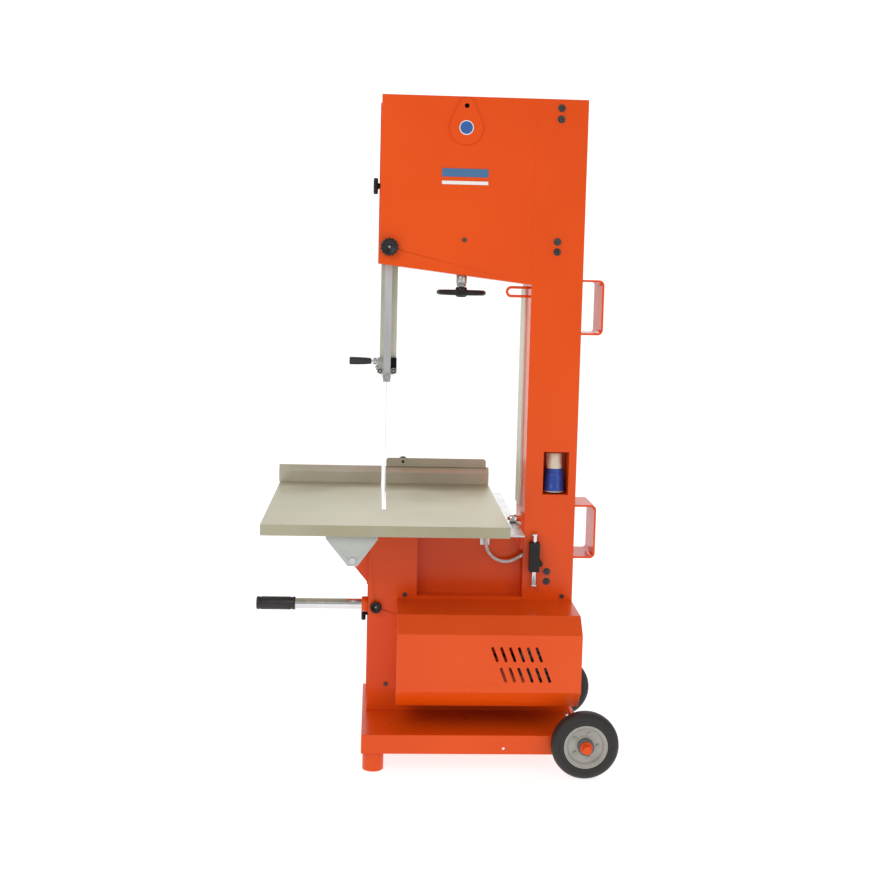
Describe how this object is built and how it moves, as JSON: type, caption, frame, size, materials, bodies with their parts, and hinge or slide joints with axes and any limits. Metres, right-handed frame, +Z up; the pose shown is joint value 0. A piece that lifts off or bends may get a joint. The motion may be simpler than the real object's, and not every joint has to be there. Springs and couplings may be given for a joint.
{
  "type": "band saw",
  "caption": "Upright masonry band saw on a wheeled base: hollow column and head, sliding table with fence and stop bar, adjustable blade guide, belt drive and tension handwheel.",
  "frame": {"origin": "on the floor under the middle of the machine's overall box", "axes": "+Z up; +Y from the motor side towards the operator; +X from the free end of the head towards the column"},
  "size_m": [1.068, 0.892, 1.956],
  "materials": {
    "orange_paint": "gloss",
    "tyre_rubber": "matte",
    "rim_paint": "satin",
    "blank_plate": "gloss",
    "dark_screw": "satin",
    "pale_strip": "satin",
    "black_plastic": "satin",
    "motor_grey": "satin",
    "bright_steel": "bright",
    "belt_rubber": "matte",
    "cast_metal": "matte",
    "blade_steel": "bright",
    "zinc_yellow": "satin",
    "light_grey_paint": "satin",
    "cream_plastic": "gloss",
    "blue_plastic": "gloss",
    "grey_hose": "matte",
    "green_plastic": "gloss",
    "red_plastic": "gloss"
  },
  "bodies": {
    "frame": {"base_frame": "orange_paint", "feet": "orange_paint", "axle": "orange_paint", "pedestal_housing": "orange_paint", "column": "orange_paint", "head_casing": "orange_paint", "lifting_plate": "orange_paint", "name_plates": "blank_plate", "casing_screws": "dark_screw", "return_guard": "pale_strip", "motor_cover": "orange_paint", "motor_body": "motor_grey", "drive_belt": "belt_rubber", "lower_bearing": "cast_metal", "blade": "blade_steel", "head_guides": "bright_steel", "slide_supports": "orange_paint", "bearing_blocks": "bright_steel", "inlet_body": "cream_plastic", "inlet_collar": "blue_plastic", "hose": "grey_hose", "hose_glands": "bright_steel", "switch_box": "black_plastic", "hooks_and_loop": "orange_paint"},
    "near_wheel": {"near_road_tyre": "tyre_rubber", "near_road_rim": "rim_paint"},
    "far_wheel": {"far_road_tyre": "tyre_rubber", "far_road_rim": "rim_paint"},
    "lower_door": {"lower_door": "orange_paint"},
    "upper_door": {"upper_door": "orange_paint"},
    "lower_latch": {"lower_latch_knob": "black_plastic"},
    "upper_latch": {"upper_latch_knob": "black_plastic"},
    "motor_shaft": {"motor_rotor": "bright_steel"},
    "lower_wheel": {"lower_shaft": "bright_steel", "lower_band_wheel": "cast_metal"},
    "upper_wheel": {"upper_band_wheel": "cast_metal"},
    "carriage": {"tension_carriage": "bright_steel"},
    "tension_wheel": {"tension_screw": "black_plastic"},
    "guide": {"guide_post": "bright_steel", "post_shield": "bright_steel", "guide_bracket": "bright_steel"},
    "guide_clamp": {"clamp_knob": "black_plastic"},
    "guide_lever": {"guide_handle": "black_plastic"},
    "thrust": {"thrust_roller": "bright_steel"},
    "left_side_roller": {"left_roller": "bright_steel"},
    "right_side_roller": {"right_roller": "bright_steel"},
    "table": {"table_plate": "zinc_yellow", "table_runners": "bright_steel", "slide_plates": "light_grey_paint", "fence": "zinc_yellow"},
    "stop": {"stop_bar": "zinc_yellow"},
    "stop_clamp": {"stop_knob": "black_plastic"},
    "brake": {"table_brake": "bright_steel"},
    "rail_roller_up": {"upper_rail_roller": "bright_steel"},
    "rail_roller_low": {"lower_rail_roller": "bright_steel"},
    "pull_handle": {"handle_tube": "bright_steel"},
    "pull_handle_clamp": {"handle_knob": "black_plastic"},
    "lock": {"lock_rod": "bright_steel"},
    "start": {"start_button": "green_plastic"},
    "halt": {"stop_button": "red_plastic"}
  },
  "joints": [
    {"name": "table_slide", "type": "slide", "parent": "frame", "child": "table", "axis": [0, 1, 0], "range_m": [-0.3, 0]},
    {"name": "near_wheel_spin", "type": "hinge", "parent": "frame", "child": "near_wheel", "pos_m": [0.436, -0.395, 0.098], "axis": [0, 1, 0], "continuous": true},
    {"name": "far_wheel_spin", "type": "hinge", "parent": "frame", "child": "far_wheel", "pos_m": [0.436, 0.122, 0.098], "axis": [0, 1, 0], "continuous": true},
    {"name": "lower_wheel_spin", "type": "hinge", "parent": "frame", "child": "lower_wheel", "pos_m": [0.06425, -0.053, 0.37], "axis": [0, 1, 0], "continuous": true},
    {"name": "motor_spin", "type": "hinge", "parent": "frame", "child": "motor_shaft", "pos_m": [0.312, -0.187, 0.33], "axis": [0, 1, 0], "continuous": true},
    {"name": "carriage_slide", "type": "slide", "parent": "frame", "child": "carriage", "axis": [0, 0, 1], "range_m": [-0.03, 0]},
    {"name": "upper_wheel_spin", "type": "hinge", "parent": "carriage", "child": "upper_wheel", "pos_m": [0.06425, -0.053, 1.7], "axis": [0, 1, 0], "continuous": true},
    {"name": "tension_screw_turn", "type": "hinge", "parent": "frame", "child": "tension_wheel", "pos_m": [0.06425, -0.119, 1.386], "axis": [0, 0, 1], "range_deg": [-3599, 0]},
    {"name": "guide_post_slide", "type": "slide", "parent": "frame", "child": "guide", "axis": [0, 0, 1], "range_m": [-0.3, 0.08]},
    {"name": "guide_clamp_turn", "type": "hinge", "parent": "frame", "child": "guide_clamp", "pos_m": [-0.153, -0.172, 1.515], "axis": [0, 1, 0], "range_deg": [-120, 120]},
    {"name": "guide_lever_turn", "type": "hinge", "parent": "guide", "child": "guide_lever", "pos_m": [-0.188, -0.093, 1.174], "axis": [1, 0, 0], "range_deg": [-170, 170]},
    {"name": "thrust_roller_spin", "type": "hinge", "parent": "guide", "child": "thrust", "pos_m": [-0.153, -0.082, 1.127], "axis": [0, 1, 0], "continuous": true},
    {"name": "left_roller_spin", "type": "hinge", "parent": "guide", "child": "left_side_roller", "pos_m": [-0.16875, -0.053, 1.146], "axis": [0, 1, 0], "continuous": true},
    {"name": "right_roller_spin", "type": "hinge", "parent": "guide", "child": "right_side_roller", "pos_m": [-0.13725, -0.053, 1.146], "axis": [0, 1, 0], "continuous": true},
    {"name": "stop_bar_slide", "type": "slide", "parent": "table", "child": "stop", "axis": [1, 0, 0], "range_m": [0, 0.15]},
    {"name": "stop_knob_turn", "type": "hinge", "parent": "stop", "child": "stop_clamp", "pos_m": [-0.086, 0.433, 0.791], "axis": [0, 1, 0], "range_deg": [-120, 120]},
    {"name": "table_brake_turn", "type": "hinge", "parent": "frame", "child": "brake", "pos_m": [-0.278, -0.115, 0.613], "axis": [1, 0, 0], "range_deg": [-180, 180]},
    {"name": "upper_rail_roller_spin", "type": "hinge", "parent": "frame", "child": "rail_roller_up", "pos_m": [0.232, -0.131, 0.7061], "axis": [1, 0, 0], "continuous": true},
    {"name": "lower_rail_roller_spin", "type": "hinge", "parent": "frame", "child": "rail_roller_low", "pos_m": [0.232, -0.131, 0.6769], "axis": [1, 0, 0], "continuous": true},
    {"name": "pull_handle_slide", "type": "slide", "parent": "frame", "child": "pull_handle", "axis": [1, 0, 0], "range_m": [0, 0.195]},
    {"name": "pull_handle_clamp_turn", "type": "hinge", "parent": "frame", "child": "pull_handle_clamp", "pos_m": [-0.173, -0.172, 0.435], "axis": [0, 1, 0], "range_deg": [-120, 120]},
    {"name": "lower_door_hinge", "type": "hinge", "parent": "frame", "child": "lower_door", "pos_m": [0.272, 0.07, 0.38], "axis": [0, 0, -1], "range_deg": [0, 110]},
    {"name": "upper_door_hinge", "type": "hinge", "parent": "frame", "child": "upper_door", "pos_m": [0.272, 0.07, 1.7], "axis": [0, 0, -1], "range_deg": [0, 110]},
    {"name": "lower_latch_turn", "type": "hinge", "parent": "frame", "child": "lower_latch", "pos_m": [-0.208, 0.033, 0.365], "axis": [1, 0, 0], "range_deg": [-120, 120]},
    {"name": "upper_latch_turn", "type": "hinge", "parent": "frame", "child": "upper_latch", "pos_m": [-0.194, 0.033, 1.704], "axis": [1, 0, 0], "range_deg": [-120, 120]},
    {"name": "lock_rod_slide", "type": "slide", "parent": "frame", "child": "lock", "axis": [0, 0, 1], "range_m": [0, 0.04]},
    {"name": "start_button_press", "type": "slide", "parent": "frame", "child": "start", "axis": [0, -1, 0], "range_m": [0, 0.004], "stiffness_N_per_m": 600},
    {"name": "stop_button_press", "type": "slide", "parent": "frame", "child": "halt", "axis": [0, -1, 0], "range_m": [0, 0.004], "stiffness_N_per_m": 600}
  ],
  "couplings": [
    {"joint": "motor_spin", "follows": "lower_wheel_spin", "ratio": 2.6667},
    {"joint": "upper_wheel_spin", "follows": "lower_wheel_spin", "ratio": 1},
    {"joint": "tension_screw_turn", "follows": "carriage_slide", "rad_per_m": 2093.8},
    {"joint": "upper_rail_roller_spin", "follows": "table_slide", "rad_per_m": 82.645},
    {"joint": "lower_rail_roller_spin", "follows": "table_slide", "rad_per_m": -82.645}
  ]
}
